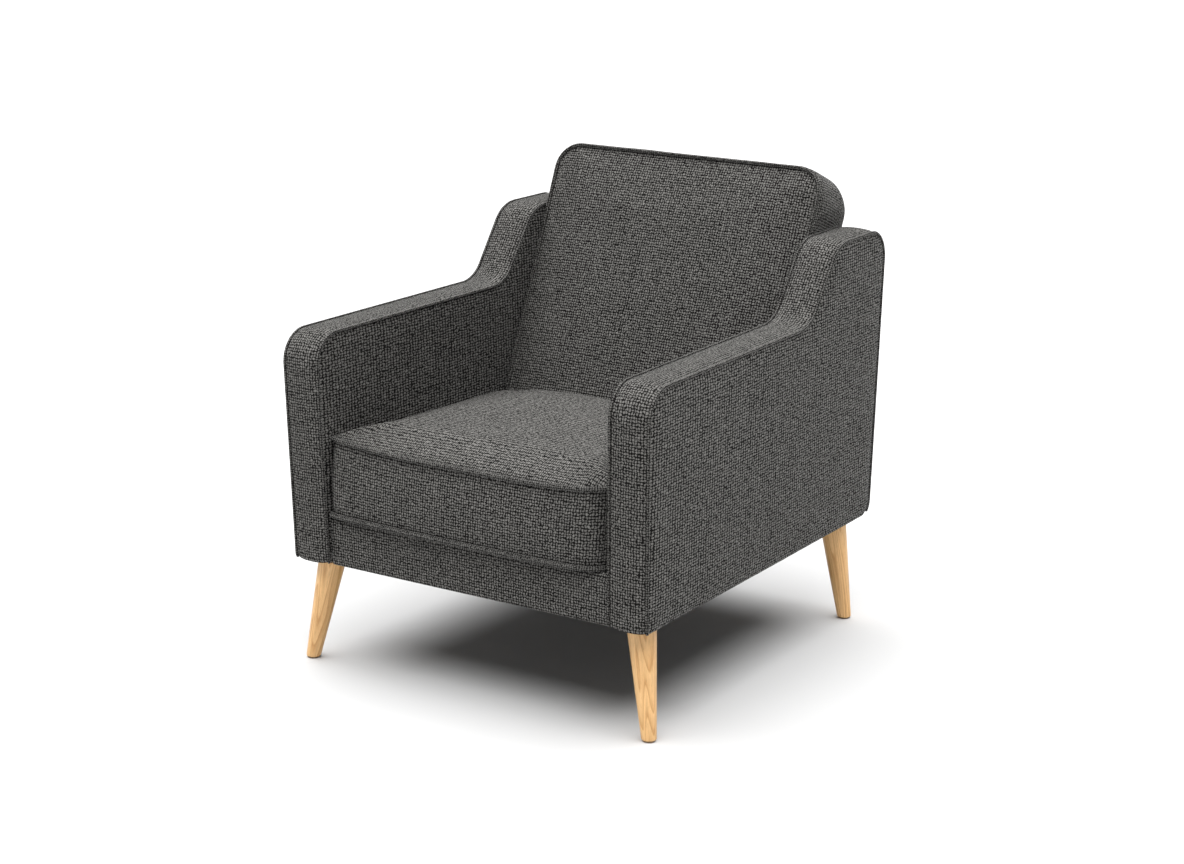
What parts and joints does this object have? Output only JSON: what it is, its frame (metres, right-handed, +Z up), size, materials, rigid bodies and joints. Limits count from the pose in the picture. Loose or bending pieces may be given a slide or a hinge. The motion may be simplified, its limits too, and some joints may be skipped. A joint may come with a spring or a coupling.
{
  "type": "upholstered armchair",
  "caption": "Armchair in mottled grey weave with low arms rising into short wings, a loose piped seat cushion, a reclined piped back and splayed tapered wooden legs.",
  "frame": {"origin": "on the floor, under the middle of the chair's bounding box", "axes": "+Z up; the front of the chair faces -Y; +X is the right-hand side as seen from the front"},
  "size_m": [0.7432, 0.815, 0.8358],
  "materials": {
    "upholstery": "matte",
    "piping": "matte",
    "foam": "matte",
    "felt": "matte",
    "deck_cloth": "matte",
    "dust_cloth": "matte",
    "webbing": "matte",
    "zip_tape": "matte",
    "spring_steel": "satin",
    "glide_plastic": "matte",
    "leg_wood": "satin",
    "plywood": "matte",
    "frame_wood": "matte"
  },
  "bodies": {
    "chair": {"back_boxing": "upholstery", "back_foam": "foam", "back_front_panel": "upholstery", "back_lower_rail": "frame_wood", "back_piping": "piping", "back_top_rail": "frame_wood", "back_webbing": "webbing", "corner_blocks": "frame_wood", "deck_cloth": "deck_cloth", "dust_cover": "dust_cloth", "front_left_leg": "leg_wood", "front_rail_cover": "upholstery", "front_right_leg": "leg_wood", "front_seat_rail": "frame_wood", "left_arm_band_cover": "upholstery", "left_arm_band_foam": "foam", "left_arm_base_rail": "frame_wood", "left_arm_board": "plywood", "left_arm_front_post": "frame_wood", "left_arm_inner_cover": "upholstery", "left_arm_inner_foam": "foam", "left_arm_inner_piping": "piping", "left_arm_outer_cover": "upholstery", "left_arm_outer_piping": "piping", "left_arm_rear_post": "frame_wood", "left_arm_top_rail": "frame_wood", "left_back_post": "frame_wood", "left_seat_rail": "frame_wood", "leg_bolts": "spring_steel", "leg_glides": "glide_plastic", "outside_back_panel": "upholstery", "rear_left_leg": "leg_wood", "rear_right_leg": "leg_wood", "rear_seat_rail": "frame_wood", "right_arm_band_cover": "upholstery", "right_arm_band_foam": "foam", "right_arm_base_rail": "frame_wood", "right_arm_board": "plywood", "right_arm_front_post": "frame_wood", "right_arm_inner_cover": "upholstery", "right_arm_inner_foam": "foam", "right_arm_inner_piping": "piping", "right_arm_outer_cover": "upholstery", "right_arm_outer_piping": "piping", "right_arm_rear_post": "frame_wood", "right_arm_top_rail": "frame_wood", "right_back_post": "frame_wood", "right_seat_rail": "frame_wood", "seat_springs": "spring_steel", "spring_clips": "spring_steel", "spring_felt": "felt", "spring_rail": "frame_wood"},
    "seat_cushion": {"seat_bottom_panel": "upholstery", "seat_bottom_piping": "piping", "seat_boxing": "upholstery", "seat_foam": "foam", "seat_top_panel": "upholstery", "seat_top_piping": "piping", "seat_zip": "zip_tape"}
  },
  "joints": [
    {"name": "cushion_lift", "type": "slide", "parent": "chair", "child": "seat_cushion", "axis": [0, 0, 1], "range_m": [0, 0.35]}
  ]
}
